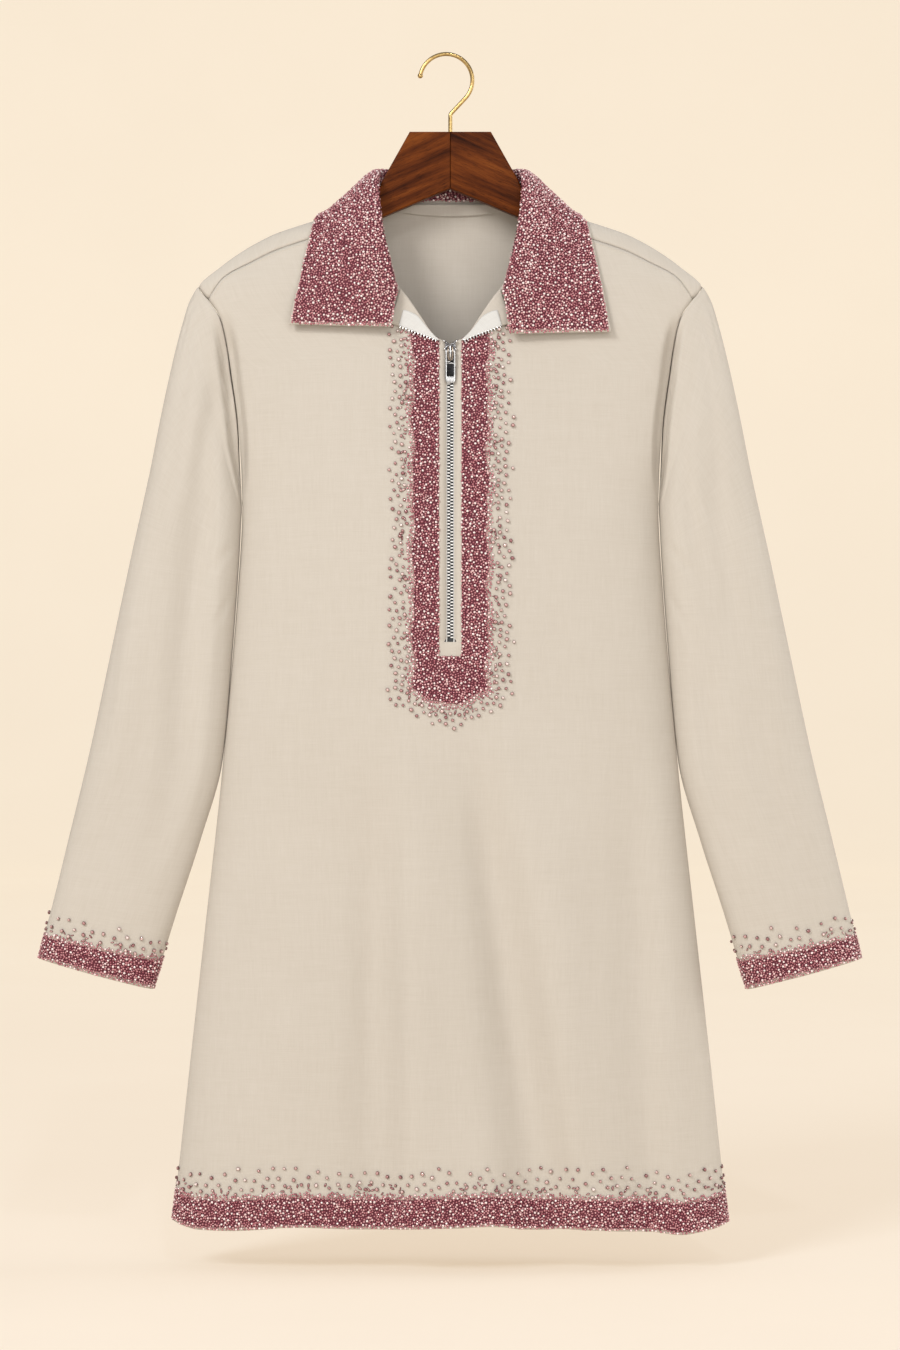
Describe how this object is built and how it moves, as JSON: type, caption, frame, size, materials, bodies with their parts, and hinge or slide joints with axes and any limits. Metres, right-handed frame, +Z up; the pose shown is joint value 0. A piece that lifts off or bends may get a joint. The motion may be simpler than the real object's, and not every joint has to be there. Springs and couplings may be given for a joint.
{
  "type": "tunic top on a hanger",
  "caption": "Long-sleeved half-zip tunic top with a beaded collar, placket, cuffs and hem, hanging open below on a mitred wooden hanger.",
  "frame": {"origin": "the underside of the top of the hook's loop, where it rests on a rail or nail", "axes": "+Z up, +X to the right of someone facing the front, -Y out of the front"},
  "size_m": [0.7568, 0.096, 1.0737],
  "materials": {
    "cloth": "fine plain weave, matt with a slight sheen",
    "beading": "cloth covered with dusty-rose glass seed beads",
    "zip_tape": "white woven tape",
    "zip_metal": "nickel-plated, bright",
    "walnut": "oiled satin walnut",
    "brass": "satin brass wire"
  },
  "bodies": {
    "root": {"front": "cloth", "back": "cloth", "sleeve_left": "cloth", "sleeve_right": "cloth", "collar": "beading", "neck_tape": "cloth", "facing_left": "cloth", "facing_right": "cloth", "zip_tape": "zip_tape", "zip_tape_left": "zip_tape", "zip_tape_right": "zip_tape", "zip_chain": "zip_metal", "zip_slider": "zip_metal", "hanger_wood_left": "walnut", "hanger_wood_right": "walnut", "hanger_hook": "brass"},
    "tab": {"pull_tab": "zip_metal"}
  },
  "joints": [
    {"name": "pull_tab_hinge", "type": "hinge", "parent": "root", "child": "tab", "pos_m": [0, -0.03989, -0.2745], "axis": [-1, 0, 0], "range_deg": [0, 165]}
  ]
}
